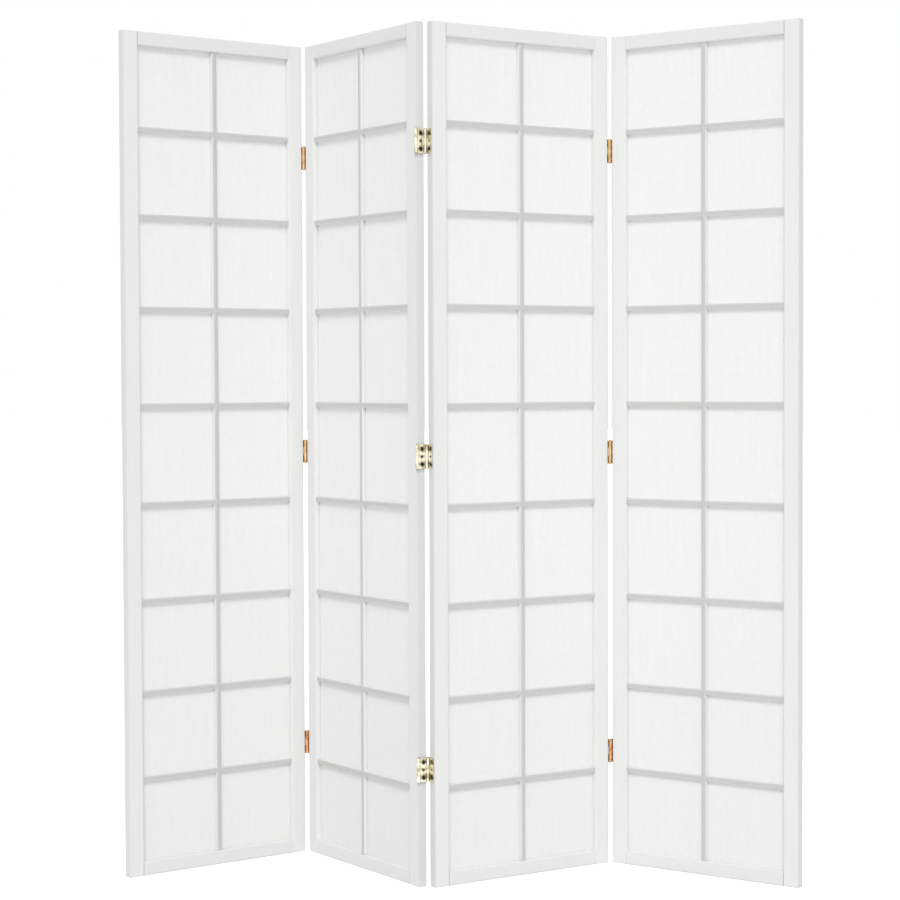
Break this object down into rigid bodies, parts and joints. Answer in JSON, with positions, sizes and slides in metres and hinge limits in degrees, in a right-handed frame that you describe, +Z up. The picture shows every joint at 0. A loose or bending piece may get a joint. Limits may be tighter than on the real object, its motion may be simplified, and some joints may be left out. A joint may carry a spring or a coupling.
{
  "type": "shoji folding screen",
  "caption": "Freestanding zigzag room divider: white frames with a thin bar lattice over pasted paper, joined by two-way brass hinges.",
  "frame": {"origin": "on the floor, in the middle of the box round the standing screen", "axes": "+Z up, the screen's height; -Y the front, where the viewer stands; +X to the viewer's right along the zigzag"},
  "size_m": [1.4244, 0.391, 1.79],
  "materials": {
    "white_paint": "satin white paint over softwood",
    "paper": "matt white shoji paper with faint fibres",
    "brass": "lightly aged, polished"
  },
  "bodies": {
    "panel_1": {"panel_1_left_stile": "white_paint", "panel_1_right_stile": "white_paint", "panel_1_bottom_rail": "white_paint", "panel_1_top_rail": "white_paint", "panel_1_lattice": "white_paint", "panel_1_paper": "paper", "panel_1_bead": "white_paint", "joint_1_bottom_left_leaf": "brass", "joint_1_middle_left_leaf": "brass", "joint_1_top_left_leaf": "brass"},
    "link_1": {"joint_1_bottom_link": "brass", "joint_1_middle_link": "brass", "joint_1_top_link": "brass"},
    "panel_2": {"panel_2_left_stile": "white_paint", "panel_2_right_stile": "white_paint", "panel_2_bottom_rail": "white_paint", "panel_2_top_rail": "white_paint", "panel_2_lattice": "white_paint", "panel_2_paper": "paper", "panel_2_bead": "white_paint", "joint_1_bottom_right_leaf": "brass", "joint_1_middle_right_leaf": "brass", "joint_1_top_right_leaf": "brass", "joint_2_bottom_left_leaf": "brass", "joint_2_middle_left_leaf": "brass", "joint_2_top_left_leaf": "brass"},
    "link_2": {"joint_2_bottom_link": "brass", "joint_2_middle_link": "brass", "joint_2_top_link": "brass"},
    "panel_3": {"panel_3_left_stile": "white_paint", "panel_3_right_stile": "white_paint", "panel_3_bottom_rail": "white_paint", "panel_3_top_rail": "white_paint", "panel_3_lattice": "white_paint", "panel_3_paper": "paper", "panel_3_bead": "white_paint", "joint_2_bottom_right_leaf": "brass", "joint_2_middle_right_leaf": "brass", "joint_2_top_right_leaf": "brass", "joint_3_bottom_left_leaf": "brass", "joint_3_middle_left_leaf": "brass", "joint_3_top_left_leaf": "brass"},
    "link_3": {"joint_3_bottom_link": "brass", "joint_3_middle_link": "brass", "joint_3_top_link": "brass"},
    "panel_4": {"panel_4_left_stile": "white_paint", "panel_4_right_stile": "white_paint", "panel_4_bottom_rail": "white_paint", "panel_4_top_rail": "white_paint", "panel_4_lattice": "white_paint", "panel_4_paper": "paper", "panel_4_bead": "white_paint", "joint_3_bottom_right_leaf": "brass", "joint_3_middle_right_leaf": "brass", "joint_3_top_right_leaf": "brass"}
  },
  "joints": [
    {"name": "joint_1_back_pins", "type": "hinge", "parent": "panel_2", "child": "link_1", "pos_m": [-0.33274, 0.19194, 0.895], "axis": [0, 0, 1], "range_deg": [-180, 0]},
    {"name": "joint_1_front_pins", "type": "hinge", "parent": "link_1", "child": "panel_1", "pos_m": [-0.35134, 0.17842, 0.895], "axis": [0, 0, 1], "range_deg": [-94, 86]},
    {"name": "joint_2_front_pins", "type": "hinge", "parent": "panel_2", "child": "link_2", "pos_m": [-0.08225, -0.19194, 0.895], "axis": [0, 0, 1], "range_deg": [-180, 0]},
    {"name": "joint_2_back_pins", "type": "hinge", "parent": "link_2", "child": "panel_3", "pos_m": [-0.06365, -0.17842, 0.895], "axis": [0, 0, 1], "range_deg": [-89.5, 90.5]},
    {"name": "joint_3_front_pins", "type": "hinge", "parent": "panel_3", "child": "link_3", "pos_m": [0.32241, 0.0687, 0.895], "axis": [0, 0, -1], "range_deg": [-69, 111]},
    {"name": "joint_3_back_pins", "type": "hinge", "parent": "link_3", "child": "panel_4", "pos_m": [0.33511, 0.08788, 0.895], "axis": [0, 0, -1], "range_deg": [-180, 0]}
  ]
}
